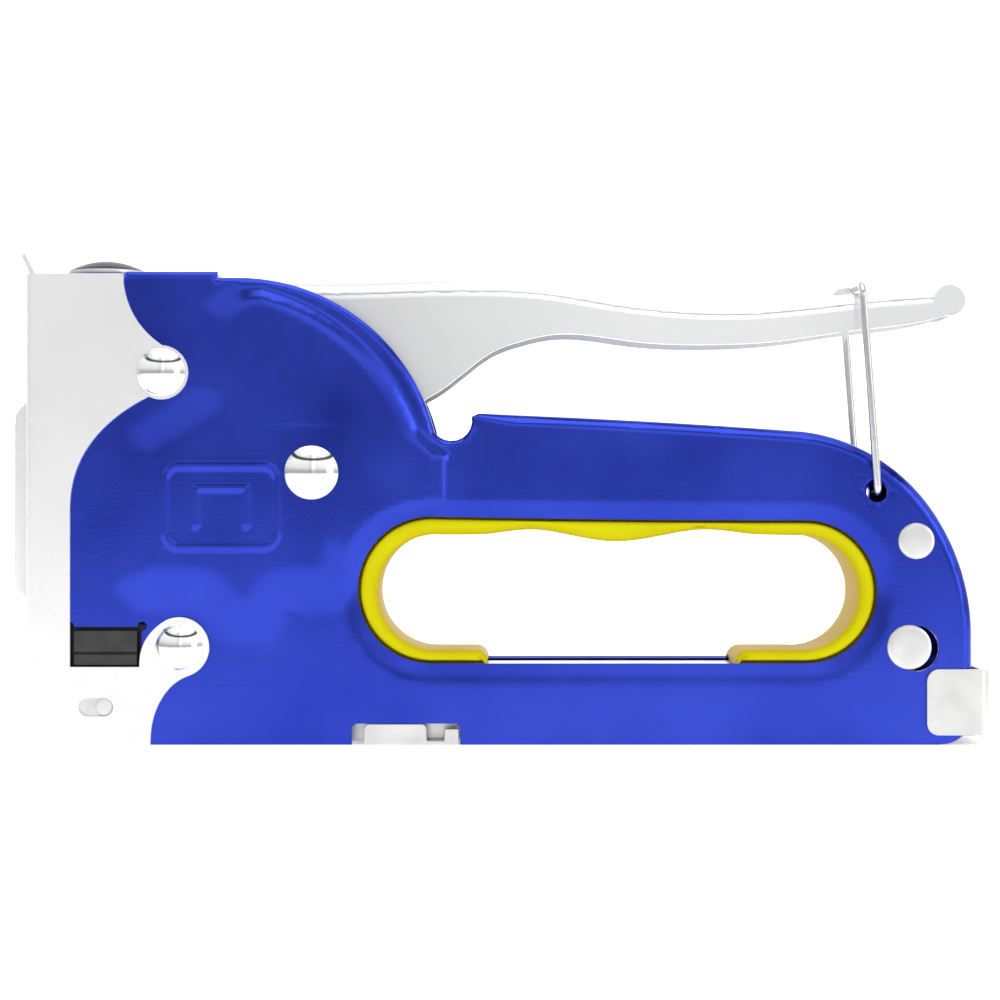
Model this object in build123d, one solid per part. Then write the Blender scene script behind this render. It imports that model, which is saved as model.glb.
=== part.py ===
from build123d import *
import math
import os

# Staple gun, in millimetres. X runs from the nose (-X) to the back (+X), Z is up and the
# middle plane of the body is Y = 0. The origin is under the middle of the object, at its base.

# Body shells
SHELL_HALF = 11.0
SHEET = 1.2
SEAM = 0.05
INNER_HALF = SHELL_HALF - SHEET
FRONT_X = -84.7
REAR_X = 86.9
FLANGE_TOP = 86.7
LEVER_SLOT_HALF = 8.9

# Nose wrap
NOSE_SHEET = 0.8
NOSE_HALF = SHELL_HALF + NOSE_SHEET
NOSE_X = -86.5
NOSE_TOP = 86.2
PLATEAU = 1.2
BULGE_DEPTH = 3.9
BULGE_HALF = 5.0

# Fastener axes, as (x, z)
PIVOT = (-34.15, 49.8)
UPPER_NOSE = (-61.65, 68.1)
LOWER_NOSE = (-58.35, 17.9)
REAR_UPPER = (76.35, 37.3)
REAR_LOWER = (75.05, 17.9)
BAIL_HOLE = (69.24, 46.3)
ARM_PIN = (-29.0, 60.5)
RIVET_R = 1.8
PIVOT_R = 2.0
SPACER_R = 3.0
BUSH_R = 3.0
RUNNING = 0.05

# Lever
LEVER_HALF = 8.5
LEVER_SHEET = 1.5
LEVER_EDGE_R = 3.4
ARM_HALF = 2.0
TIP = (-85.6, 48.0)
TIP_R = 1.6

# Bail
BAIL_TOP = (66.4, 84.2)
BAIL_HALF = 11.95
BAIL_WIRE_R = 0.72

# Striker and its spring
SPRING_X = -73.5
SPRING_R = 5.6
SPRING_WIRE_R = 1.0
SPRING_TURNS = 7
CARRIER_Z = 50.0
CARRIER_THICK = 3.0
SEAT_Z = 79.5
SEAT_THICK = 3.0
SCREW_R = 2.45
BLADE_X = -85.5
BLADE_THICK = 1.2
BLADE_HALF = 5.4
BUMPER = (-77.7, -66.1, 14.6, 20.9)
WINDOW = (-78.4, -65.3, 14.3, 21.6)

# Magazine
CHANNEL_FRONT = -84.1
CHANNEL_HALF = 6.5
CHANNEL_SHEET = 0.9
CHANNEL_TOP = 14.2
RAIL_FRONT = -83.9
RAIL_HALF = 4.9
RAIL_SHEET = 0.8
RAIL_Z = (1.0, 12.4)
ROD_Z = 6.5
ROD_R = 1.2
CLIP_X = 88.2
STRAP_X = (-24.65, -7.3)


def slab(outline, y_low, y_high):
    """Solid of an X-Z outline between two Y positions."""
    return Pos(0, y_low, 0) * extrude(Plane.XZ * outline, amount=y_low - y_high)


def rod_y(centre, radius, y_low, y_high):
    """Round bar along Y about an (x, z) axis."""
    return slab(Pos(*centre) * Circle(radius), y_low, y_high)


def block(x_low, x_high, half, z_low, z_high):
    """Rectangular block that is symmetric about Y = 0."""
    size = (x_high - x_low, 2 * half, z_high - z_low)
    return Pos((x_low + x_high) / 2, 0, (z_low + z_high) / 2) * Box(*size)


def side_block(x_low, x_high, y_low, y_high, z_low, z_high):
    """Rectangular block given by its six limits."""
    size = (x_high - x_low, y_high - y_low, z_high - z_low)
    centre = ((x_low + x_high) / 2, (y_low + y_high) / 2, (z_low + z_high) / 2)
    return Pos(*centre) * Box(*size)


def both_sides(solid):
    """A solid and its mirror image across the middle plane."""
    return solid + mirror(solid, about=Plane.XZ)


def dome(centre, radius, height, face_y):
    """Domed rivet head standing on the plane Y = face_y, on the -Y side."""
    ball_r = (radius**2 + height**2) / (2 * height)
    ball = Pos(centre[0], face_y - height + ball_r, centre[1]) * Sphere(ball_r)
    return ball & rod_y(centre, radius + 1, face_y - height - 1, face_y)


def write(shape, node):
    """Write one sub-part."""
    shape.label = node
    export_step(shape, f"parts/{node}.step")


def body_outline():
    """Side view of a body shell, clockwise from the bottom of the nose."""
    hump_end = (-11.74, 57.27)
    beam_start = (-3.6, 60.7)
    beam_end = (56.1, 57.4)
    shoulder = (78.9, 44.1)
    corner = 5.9
    rear_arc = (REAR_X - corner * (1 - math.cos(math.pi / 4)), corner * (1 - math.cos(math.pi / 4)))
    edges = [
        Polyline((FRONT_X, 0), (FRONT_X, NOSE_TOP), (-68.4, NOSE_TOP), (-68.4, FLANGE_TOP),
                 (-51.5, FLANGE_TOP), (-51.5, 85.6), (-47.8, 85.6)),
        ThreePointArc((-47.8, 85.6), (-22.3, 75.45), hump_end),
        ThreePointArc(hump_end, (-8.6, 55.65), (-4.95, 60.1)),
        Line((-4.95, 60.1), beam_start),
        ThreePointArc(beam_start, (28.6, 59.2), beam_end),
        ThreePointArc(beam_end, (68.84, 53.07), shoulder),
        ThreePointArc(shoulder, (84.97, 32.3), (REAR_X, 19.0)),
        Line((REAR_X, 19.0), (REAR_X, corner)),
        ThreePointArc((REAR_X, corner), rear_arc, (REAR_X - corner, 0)),
        Polyline((REAR_X - corner, 0), (-7.05, 0), (-7.05, 3.9), (-26.85, 3.9), (-26.85, 0),
                 (FRONT_X, 0)),
    ]
    return make_face(edges)


def finger_hole():
    """Side view of the opening for the fingers."""
    edges = [
        ThreePointArc((-12.7, 14.85), (-25.8, 27.9), (-11.0, 41.75)),
        ThreePointArc((-11.0, 41.75), (18.5, 41.3), (56.1, 41.1)),
        ThreePointArc((56.1, 41.1), (69.4, 27.9), (56.1, 14.85)),
        Line((56.1, 14.85), (-12.7, 14.85)),
    ]
    return make_face(edges)


def plateau_outline():
    """Side view of the foot of the raised panel on the hump."""
    edges = [
        Polyline((-49.5, 84.0), (-54.6, 80.0), (-54.6, 66.0), (-68.5, 57.5), (-70.0, 54.0),
                 (-70.0, 29.0), (-66.0, 25.4), (-55.0, 25.0), (-51.0, 19.6), (-42.0, 19.2),
                 (-38.7, 25.0), (-29.0, 25.4)),
        ThreePointArc((-29.0, 25.4), (-27.6, 34.0), (-21.5, 41.5)),
        Polyline((-21.5, 41.5), (-15.0, 46.5), (-11.3, 49.5), (-11.3, 54.0), (-14.6, 58.0)),
        ThreePointArc((-14.6, 58.0), (-25.6, 74.2), (-43.4, 83.6)),
        Line((-43.4, 83.6), (-49.5, 84.0)),
    ]
    return make_face(edges)


def left_shell():
    """Pressed half of the body, with a raised panel and a rim turned in to the middle plane."""
    outline = body_outline()
    cavity = slab(offset(outline, -SHEET, kind=Kind.INTERSECTION), -INNER_HALF, 0)
    panel = extrude(Plane.XZ.offset(SHELL_HALF) * plateau_outline(), amount=PLATEAU, taper=50)
    shell = slab(outline, -SHELL_HALF, -SEAM) + panel - cavity
    shell -= Pos(0, SHEET, 0) * panel
    shell -= slab(finger_hole(), -SHELL_HALF - 1, 1)
    shell -= block(-51.6, -4.2, LEVER_SLOT_HALF, 54, 90)
    shell -= block(-90, 90, INNER_HALF, -1, 5.3)
    shell -= block(-90, FRONT_X + 1.4, INNER_HALF, -1, NOSE_TOP - SHEET)
    shell -= block(80, 90, INNER_HALF, -1, 14.4)
    shell -= block(WINDOW[0], WINDOW[1], SHELL_HALF + 1, WINDOW[2], WINDOW[3])
    shell -= Pos(SPRING_X, 0, FLANGE_TOP) * Cylinder(SCREW_R + 0.25, 6)
    for centre in (UPPER_NOSE, LOWER_NOSE, REAR_UPPER, REAR_LOWER):
        shell -= rod_y(centre, RIVET_R, -12, 0)
    shell -= rod_y(PIVOT, PIVOT_R, -14, 0)
    shell -= rod_y(BAIL_HOLE, 1.9, -12, 0)
    shell += rod_y((-72.1, 6.95), 1.6, -SHELL_HALF - 0.7, -SHELL_HALF)
    return shell


def wing_outline():
    """Side view of the nose wrap, whose wings hold the two front rivets."""
    top_lug = (UPPER_NOSE[0] + 4.95, UPPER_NOSE[1])
    low_lug = (LOWER_NOSE[0] + 5.5, LOWER_NOSE[1])
    edges = [
        Polyline((NOSE_X, 0), (NOSE_X, NOSE_TOP), (-68.5, NOSE_TOP), (-68.5, 84.4)),
        Spline((-68.5, 84.4), (-66.7, 78.7), (-61.4, 73.05)),
        ThreePointArc((-61.4, 73.05), top_lug, (-63.9, 63.7)),
        Spline((-63.9, 63.7), (-73.3, 56.7), (-78.3, 43.0), tangents=[(-1, -0.5), (0, -1)]),
        Polyline((-78.3, 43.0), (-78.3, WINDOW[2]), (-65.6, WINDOW[2])),
        Spline((-65.6, WINDOW[2]), (-64.9, 18.4), (-61.9, 22.1)),
        ThreePointArc((-61.9, 22.1), low_lug, (-56.6, 12.7)),
        Spline((-56.6, 12.7), (-61.6, 8.4), (-63.6, 0), tangents=[(-1, -0.35), (0, -1)]),
        Line((-63.6, 0), (NOSE_X, 0)),
    ]
    return make_face(edges)


def nose_plate():
    """Plated sheet bent into a U round the front, with a pressed bulge and a top tab."""
    outer = block(NOSE_X, -40, NOSE_HALF, 0, NOSE_TOP)
    outer = fillet(outer.edges().filter_by(Axis.Z).group_by(Axis.X)[0], 1.8)
    inner = block(NOSE_X + NOSE_SHEET, -39, SHELL_HALF, -1, NOSE_TOP + 1)
    inner = fillet(inner.edges().filter_by(Axis.Z).group_by(Axis.X)[0], 1.0)
    plate = (outer - inner) & slab(wing_outline(), -20, 20)

    crest = NOSE_X - BULGE_DEPTH
    profile = [(NOSE_X, 25.6), (crest + 0.7, 28.6), (crest, 32.5), (crest, 57.0),
               (crest + 0.7, 60.9), (NOSE_X, 64.1)]
    ridge = slab(make_face(Polyline(*profile, (NOSE_X + 0.6, 64.1), (NOSE_X + 0.6, 25.6),
                                    close=True)), -BULGE_HALF, BULGE_HALF)
    long_edges = ridge.edges().filter_by(Axis.Z).group_by(Axis.X)[0]
    ridge = fillet(long_edges, 2.5)
    plate += ridge
    hollow = [(x + NOSE_SHEET, z + (0.4 if z < 45 else -0.4)) for x, z in profile]
    plate -= slab(make_face(Polyline(*hollow, (NOSE_X + 2, 63.7), (NOSE_X + 2, 26.0),
                                     close=True)), 1.6 - BULGE_HALF, BULGE_HALF - 1.6)

    tab = Polyline((-85.7, 85.2), (-85.7, 86.4), (-87.7, 90.5), (-88.4, 90.2), (-86.5, 86.0),
                   (-86.5, 85.2), close=True)
    plate += slab(make_face(tab), -6, 6)
    slot = Pos(-73.55, 6.95) * SlotOverall(6.3, 3.3)
    plate -= slab(slot, -20, 20)
    for centre in (UPPER_NOSE, LOWER_NOSE):
        plate -= rod_y(centre, RIVET_R, -20, 20)
    return plate


def lever_outline():
    """Side view of the lever's cheeks and back."""
    top = Spline((-42.5, 85.2), (-12.6, 85.45), (-1.6, 85.5), (9.5, 84.8), (20.5, 83.0),
                 (35.2, 81.4), (46.3, 81.3), (60.9, 82.6), (75.7, 84.0), (82.2, 84.35))
    low = Spline((82.4, 78.8), (75.7, 77.25), (64.7, 75.95), (53.6, 74.3), (38.9, 73.4),
                 (24.0, 74.1), (10.2, 75.3), (3.7, 73.9), (-0.7, 72.3), (-5.1, 69.3), (-13.4, 63.4))
    edges = [
        top,
        ThreePointArc((82.2, 84.35), (85.9, 81.3), (82.4, 78.8)),
        low,
        Line((-13.4, 63.4), (-28.6, 45.0)),
        ThreePointArc((-28.6, 45.0), (-34.5, 42.6), (-40.9, 47.4)),
        Polyline((-40.9, 47.4), (-42.5, 60.0), (-42.5, 85.2)),
    ]
    return make_face(edges)


def lever():
    """Plated U channel, open below, with rounded shoulders and a lug that keeps the bail."""
    channel = slab(lever_outline(), -LEVER_HALF, LEVER_HALF)
    shoulders = channel.edges().filter_by(
        lambda e: abs(abs(e.center().Y) - LEVER_HALF) < 0.01 and e.center().Z > 79.5
        and e.length > 60)
    channel = fillet(shoulders, LEVER_EDGE_R)
    inside = [
        Spline((-42.5, 83.7), (-12.6, 83.95), (-1.6, 84.0), (9.5, 83.3), (20.5, 81.5),
               (35.2, 79.9), (46.3, 79.8), (60.9, 81.1), (75.7, 82.5), (84.0, 82.6)),
        Polyline((84.0, 82.6), (84.0, 30), (-60, 30), (-60, 83.7), (-42.5, 83.7)),
    ]
    hollow = slab(make_face(inside), LEVER_SHEET - LEVER_HALF, LEVER_HALF - LEVER_SHEET)
    inner_edges = hollow.edges().filter_by(
        lambda e: abs(e.center().Y) > 6.9 and e.center().Z > 79 and e.length > 60)
    hollow = fillet(inner_edges, LEVER_EDGE_R - LEVER_SHEET)
    channel -= hollow
    lug = Polyline((61.4, 82.2), (63.0, 84.0), (65.4, 84.4), (65.4, 82.6), close=True)
    channel += slab(make_face(lug), -4, 4)
    channel -= rod_y(PIVOT, BUSH_R + RUNNING, -10, 10)
    channel -= rod_y(ARM_PIN, 1.5, -10, 10)
    return channel


def lift_arm():
    """Steel arm between the cheeks, whose tip reaches through the striker."""
    bar = make_face(Polyline((-34, 56), (-58, 50.2), (-70, 49.6), (TIP[0], TIP[1] + TIP_R),
                             (TIP[0], TIP[1] - TIP_R), (-60, 43.8), (-34, 43.7), close=True))
    ear = make_face(Polyline((-39.5, 52.5), (-31.8, 62.4), (-26.5, 62.0), (-28.2, 50), close=True))
    arm = bar + ear + Pos(*PIVOT) * Circle(6.2) + Pos(*TIP) * Circle(TIP_R)
    arm += Pos(*ARM_PIN) * Circle(3.0)
    arm = slab(arm, -ARM_HALF, ARM_HALF)
    arm -= rod_y(PIVOT, BUSH_R + RUNNING, -10, 10)
    arm -= rod_y(ARM_PIN, 1.5, -10, 10)
    return arm


def rivet(centre, shaft_r, head_r, height, face):
    """Rivet with a domed head on each side."""
    shaft = rod_y(centre, shaft_r, -face - 0.2, face + 0.2)
    return shaft + both_sides(dome(centre, head_r, height, -face))


def flat_rivet(centre, head_r):
    """Rivet with a flat, softly edged head on each side."""
    head = rod_y(centre, head_r, -SHELL_HALF - 0.9, -SHELL_HALF)
    head = chamfer(head.edges().group_by(Axis.Y)[0], 0.3)
    return rod_y(centre, RIVET_R, -SHELL_HALF - 0.2, SHELL_HALF + 0.2) + both_sides(head)


def spacer(centre, outer_r, inner_r, half=INNER_HALF):
    """Tube on a rivet that keeps the shells apart."""
    return rod_y(centre, outer_r, -half, half) - rod_y(centre, inner_r, -half - 1, half + 1)


def coil(radius, wire_r, pitch, turns):
    """Round wire wound about the Z axis, starting at the origin's height."""
    path = Helix(pitch=pitch, height=pitch * turns, radius=radius)
    section = Plane(origin=path @ 0, z_dir=path % 0) * Circle(wire_r)
    return sweep(section, path=path, is_frenet=True)


def drive_spring():
    """Compression spring between the carrier and the seat, with flat ends."""
    low = CARRIER_Z + CARRIER_THICK
    length = SEAT_Z - low
    pitch = (length + SPRING_WIRE_R) / SPRING_TURNS
    wound = coil(SPRING_R, SPRING_WIRE_R, pitch, SPRING_TURNS)
    wound = Pos(SPRING_X, 0, low - SPRING_WIRE_R / 2) * wound
    return wound & block(SPRING_X - 10, SPRING_X + 10, 10, low, SEAT_Z)


def lever_return_spring():
    """Torsion spring on the bush: one leg under the lever's back, one in the shell wall."""
    wire_r = 0.6
    radius = 4.2
    pitch = 1.5
    turns = 2.25
    leg = 12.0
    start_y = 2.8
    end_y = start_y + pitch * turns
    leg_z = PIVOT[1] - radius
    upward = (Align.CENTER, Align.CENTER, Align.MIN)
    wound = mirror(Rot(0, 0, 180) * coil(radius, wire_r, pitch, turns), about=Plane.XZ)
    spring = Pos(PIVOT[0], start_y, PIVOT[1]) * Rot(-90, 0, 0) * wound
    spring += Pos(PIVOT[0] - radius, start_y, PIVOT[1]) * Sphere(wire_r)
    spring += Pos(PIVOT[0] - radius, start_y, PIVOT[1]) * Cylinder(wire_r, 33.4, align=upward)
    spring += Pos(PIVOT[0], end_y, leg_z) * Sphere(wire_r)
    spring += Pos(PIVOT[0], end_y, leg_z) * Rot(0, 90, 0) * Cylinder(wire_r, leg, align=upward)
    spring += Pos(PIVOT[0] + leg, end_y, leg_z) * Sphere(wire_r)
    return spring + rod_y((PIVOT[0] + leg, leg_z), wire_r, end_y, INNER_HALF + PLATEAU)


def spring_bridge():
    """Plate under the top flanges that takes the load of the drive spring."""
    plate = block(-83.5, -53.0, INNER_HALF - 0.1, 83.0, 84.9)
    return plate - Pos(SPRING_X, 0, 84) * Cylinder(SCREW_R + 0.1, 6)


def tension_screw():
    """Domed screw with a slot, threaded into the spring seat."""
    head_low = 87.7
    height = 1.8
    head_r = 6.9
    ball_r = (head_r**2 + height**2) / (2 * height)
    head = Pos(SPRING_X, 0, head_low + height - ball_r) * Sphere(ball_r)
    head &= Pos(SPRING_X, 0, head_low + 2) * Cylinder(head_r + 1, 4)
    head -= block(SPRING_X - 5, SPRING_X + 5, 0.7, head_low + 0.8, head_low + 3)
    shank_low = 71.0
    upward = (Align.CENTER, Align.CENTER, Align.MIN)
    shank = Cylinder(SCREW_R, head_low - shank_low + 0.3, align=upward)
    return head + Pos(SPRING_X, 0, shank_low) * shank


def screw_washer():
    """Washer between the screw's head and the top flanges."""
    ring = Cylinder(7.1, 0.9) - Cylinder(SCREW_R + 0.05, 2)
    return Pos(SPRING_X, 0, FLANGE_TOP + 0.47) * ring


def spring_seat():
    """Threaded seat that holds the top of the drive spring."""
    plate = block(SPRING_X - 7, SPRING_X + 7, 8.5, SEAT_Z, SEAT_Z + SEAT_THICK)
    plate += Pos(SPRING_X, 0, SEAT_Z - 2) * Cylinder(4.2, 4)
    return plate - Pos(SPRING_X, 0, SEAT_Z) * Cylinder(SCREW_R + RUNNING, 20)


def striker_carrier():
    """Follower under the drive spring, with two legs that stop on the bumper."""
    foot_z = BUMPER[3] + 0.3
    top = CARRIER_Z + CARRIER_THICK
    body = block(-83.9, -64.9, 8.5, CARRIER_Z, top)
    body += Pos(SPRING_X, 0, top + 2) * Cylinder(4.3, 4)
    body += block(BLADE_X, -83.8, 3.0, CARRIER_Z, top)
    body += both_sides(side_block(-79, -69, -4.4, -2.4, foot_z, CARRIER_Z + 0.5))
    body += block(-79, -69, 4.4, foot_z, foot_z + 3.5)
    return body


def striker_blade():
    """Flat blade that drives the staple, with a window for the carrier and the arm."""
    blade = block(BLADE_X, BLADE_X + BLADE_THICK, BLADE_HALF, 0.4, 56)
    return blade - block(BLADE_X - 1, BLADE_X + 3, 3.02, 32, CARRIER_Z + CARRIER_THICK)


def striker_bumper():
    """Rubber block that stops the carrier, held in the windows of the shells."""
    x_low, x_high, z_low, z_high = BUMPER
    rubber = block(x_low, x_high, SHELL_HALF + 0.25, z_low, z_high)
    return chamfer(rubber.edges().filter_by(Axis.Y), 0.6)


def magazine_channel():
    """Inverted U channel that guides the staples."""
    channel = block(CHANNEL_FRONT, 77.0, CHANNEL_HALF, 0.3, CHANNEL_TOP)
    channel -= block(-90, 90, CHANNEL_HALF - CHANNEL_SHEET, 0, CHANNEL_TOP - CHANNEL_SHEET)
    channel -= block(STRAP_X[0] - 0.4, STRAP_X[1] + 0.4, 12, 0, 0.75)
    return channel


def magazine_rail():
    """Inner rail that the staples straddle, slotted on top for the pusher's neck."""
    low, high = RAIL_Z
    rail = block(RAIL_FRONT, CLIP_X, RAIL_HALF, low, high)
    rail -= block(RAIL_FRONT + RAIL_SHEET, 90, RAIL_HALF - RAIL_SHEET, 0, high - RAIL_SHEET)
    rail -= block(RAIL_FRONT + RAIL_SHEET, 72, 1.3, 5, 20)
    return rail - Pos(0, 0, ROD_Z) * Rot(0, 90, 0) * Cylinder(ROD_R, 200)


def guide_rod():
    """Rod that carries the pusher's spring."""
    length = CLIP_X - RAIL_FRONT
    return Pos((CLIP_X + RAIL_FRONT) / 2, 0, ROD_Z) * Rot(0, 90, 0) * Cylinder(ROD_R, length)


def pusher():
    """Saddle over the rail, with a neck and a block that runs on the guide rod."""
    x_low = RAIL_FRONT + 0.2
    saddle = block(x_low, x_low + 12, 5.35, 1.6, 13.0)
    saddle -= block(x_low - 1, x_low + 13, RAIL_HALF + 0.1, 0, RAIL_Z[1] + 0.12)
    inner = block(RAIL_FRONT + 1.1, x_low + 10, 3.9, 2.6, 10.4)
    neck = block(RAIL_FRONT + 1.1, x_low + 10, 1.15, 9, 12.8)
    return saddle + inner + neck - Pos(0, 0, ROD_Z) * Rot(0, 90, 0) * Cylinder(ROD_R + 0.1, 200)


def pusher_spring():
    """Long compression spring on the guide rod, behind the pusher."""
    start = RAIL_FRONT + 10.4
    pitch = 8.0
    turns = 19
    wound = coil(2.2, 0.35, pitch, turns)
    return Pos(start + 0.4, 0, ROD_Z) * Rot(0, 90, 0) * wound


def rear_clip():
    """Plated cap on the back of the rail, with cheeks beside the shells and a pull lip."""
    low, high = 1.8, 13.9
    outer = NOSE_HALF + 0.15
    cap = block(78.2, CLIP_X + 1.0, outer, low, high)
    cap = fillet(cap.edges().filter_by(Axis.Z).group_by(Axis.X)[-1], 1.2)
    cap = fillet(cap.edges().filter_by(Axis.Y).group_by(Axis.X)[0], 2.2)
    cap -= block(70, CLIP_X, SHELL_HALF + 0.15, 0, 20)
    lip = block(CLIP_X + 0.8, CLIP_X + 2.2, 8, 6.0, 13.5)
    lip = fillet(lip.edges().filter_by(Axis.Y).group_by(Axis.X)[-1], 0.6)
    return cap + lip


def bottom_strap():
    """Strap under the magazine whose tabs are turned up in the notches of the shells."""
    x_low, x_high = STRAP_X
    sheet = 0.7
    strap = block(x_low, x_high, SHELL_HALF, 0, sheet)
    big = side_block(x_low, -13.15, -SHELL_HALF, -SHELL_HALF + 0.8, 0, 3.8)
    big = fillet(big.edges().filter_by(Axis.Y).group_by(Axis.Z)[-1], 1.0)
    small = side_block(-9.95, x_high, -SHELL_HALF, -SHELL_HALF + 0.8, 0, 2.9)
    return strap + both_sides(big + small)


def grip_liner():
    """Plastic insert in the finger hole: a ring, open below, waved on top, with two flanges."""
    hole = finger_hole()
    inner = make_face([
        Spline((-10.5, 38.4), (-2.5, 38.5), (7.2, 39.3), (21.7, 37.15), (36.8, 39.3), (47.0, 38.5),
               (55.0, 38.3)),
        ThreePointArc((55.0, 38.3), (66.3, 27.6), (54.6, 17.2)),
        Line((54.6, 17.2), (-11.5, 17.2)),
        ThreePointArc((-11.5, 17.2), (-22.2, 27.7), (-10.5, 38.4)),
    ])
    band = slab(offset(hole, -0.9) - inner, -INNER_HALF + 0.1, INNER_HALF - 0.1)
    band += both_sides(slab(offset(hole, 2.0) - inner, -INNER_HALF + 0.1, -8.2))
    return band - block(-1.95, 43.6, 20, 0, 20)


def bail():
    """Wire loop: two legs turned in at the body and a bar over the lever."""
    foot_y = 8.9
    points = [
        (BAIL_HOLE[0], -foot_y, BAIL_HOLE[1]),
        (BAIL_HOLE[0], -BAIL_HALF, BAIL_HOLE[1]),
        (BAIL_TOP[0], -BAIL_HALF, BAIL_TOP[1]),
        (BAIL_TOP[0], BAIL_HALF, BAIL_TOP[1]),
        (BAIL_HOLE[0], BAIL_HALF, BAIL_HOLE[1]),
        (BAIL_HOLE[0], foot_y, BAIL_HOLE[1]),
    ]
    path = FilletPolyline(*points, radius=[1.2, 2.4, 2.4, 1.2])
    section = Plane(origin=path @ 0, z_dir=path % 0) * Circle(BAIL_WIRE_R)
    return sweep(section, path=path)


shell = left_shell()
write(shell, "left_shell")
write(mirror(shell, about=Plane.XZ), "right_shell")
write(nose_plate(), "nose_plate")
write(lever(), "lever")
write(lift_arm(), "lift_arm")
write(rod_y(ARM_PIN, 1.5, -LEVER_HALF - 0.3, LEVER_HALF + 0.3), "arm_pin")
write(spacer(PIVOT, BUSH_R, PIVOT_R, INNER_HALF + PLATEAU), "pivot_bush")
write(rivet(PIVOT, PIVOT_R, 4.9, 2.3, SHELL_HALF + PLATEAU), "lever_pivot")
write(lever_return_spring(), "lever_return_spring")
write(rivet(UPPER_NOSE, RIVET_R, 4.4, 2.3, NOSE_HALF), "upper_nose_rivet")
write(rivet(LOWER_NOSE, RIVET_R, 4.3, 2.3, NOSE_HALF), "lower_nose_rivet")
write(flat_rivet(REAR_UPPER, 3.35), "rear_upper_rivet")
write(flat_rivet(REAR_LOWER, 4.1), "rear_lower_rivet")
write(spacer(UPPER_NOSE, SPACER_R, RIVET_R), "upper_nose_spacer")
write(spacer(LOWER_NOSE, SPACER_R, RIVET_R), "lower_nose_spacer")
write(spacer(REAR_UPPER, SPACER_R, RIVET_R), "rear_upper_spacer")
write(spacer(REAR_LOWER, SPACER_R, RIVET_R), "rear_lower_spacer")
write(spring_bridge(), "spring_bridge")
write(tension_screw(), "tension_screw")
write(screw_washer(), "screw_washer")
write(spring_seat(), "spring_seat")
write(drive_spring(), "drive_spring")
write(striker_carrier(), "striker_carrier")
write(striker_blade(), "striker_blade")
write(striker_bumper(), "striker_bumper")
write(magazine_channel(), "magazine_channel")
write(magazine_rail(), "magazine_rail")
write(guide_rod(), "guide_rod")
write(pusher(), "pusher")
write(pusher_spring(), "pusher_spring")
write(rear_clip(), "rear_clip")
write(bottom_strap(), "bottom_strap")
write(grip_liner(), "grip_liner")
write(bail(), "bail")
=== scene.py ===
import math
from collections import Counter
import bpy
import numpy as np
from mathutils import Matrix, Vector


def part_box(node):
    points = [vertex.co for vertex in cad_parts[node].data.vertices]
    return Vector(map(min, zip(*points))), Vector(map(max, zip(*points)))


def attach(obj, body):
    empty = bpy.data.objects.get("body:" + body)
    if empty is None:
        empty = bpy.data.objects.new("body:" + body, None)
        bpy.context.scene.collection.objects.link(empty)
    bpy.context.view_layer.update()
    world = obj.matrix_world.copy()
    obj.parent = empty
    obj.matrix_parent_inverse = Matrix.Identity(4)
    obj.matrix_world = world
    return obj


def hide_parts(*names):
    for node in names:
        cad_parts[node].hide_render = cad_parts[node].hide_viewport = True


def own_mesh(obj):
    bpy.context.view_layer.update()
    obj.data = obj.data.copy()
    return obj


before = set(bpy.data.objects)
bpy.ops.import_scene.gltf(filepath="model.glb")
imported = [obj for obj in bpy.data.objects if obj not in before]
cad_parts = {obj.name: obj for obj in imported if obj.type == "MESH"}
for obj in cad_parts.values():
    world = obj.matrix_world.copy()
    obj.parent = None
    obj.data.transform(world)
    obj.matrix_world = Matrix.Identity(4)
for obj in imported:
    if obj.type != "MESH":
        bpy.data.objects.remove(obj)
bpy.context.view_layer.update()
bpy.ops.object.select_all(action="DESELECT")

# ---------------------------------------------------------------------------
# Camera: level with the middle of the tool, square to its left side, from an
# arm's length, as for a catalogue picture.
# ---------------------------------------------------------------------------
VIEW_DISTANCE = 0.420
VIEW_HEIGHT = 0.0448
bpy.ops.object.camera_add(location=(0.00025, -VIEW_DISTANCE, VIEW_HEIGHT),
                          rotation=(math.radians(90), 0, 0))
camera = bpy.context.object
camera.name = "camera"
camera.data.lens = 80.5
camera.data.sensor_width = 36.0
camera.data.clip_start = 0.01
bpy.context.scene.camera = camera

# ---------------------------------------------------------------------------
# Studio: a white sweep under and behind the tool, inside a tent of white cloth.
# The tent is brighter towards the top and the middle right, and dark at a seam
# high up, which draws the thin dark lines on the plated steel.
# ---------------------------------------------------------------------------
SWEEP_BACK = 1.4
SWEEP_RADIUS = 0.5
SWEEP_HALF = 3.0
TENT_STRENGTH = 1.0
TENT_HEIGHTS = ((0.0, 0.52), (0.10, 0.62), (0.26, 1.10), (0.60, 1.35), (0.64, 0.06),
                (0.71, 0.06), (0.75, 1.15), (1.0, 1.25))
TENT_SIDES = ((0.0, 0.80), (0.40, 0.80), (0.455, 0.62), (0.485, 0.74), (0.52, 1.15),
              (0.565, 1.15), (0.605, 0.85), (1.0, 1.0))
BOARD_GLOW = 0.38

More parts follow.
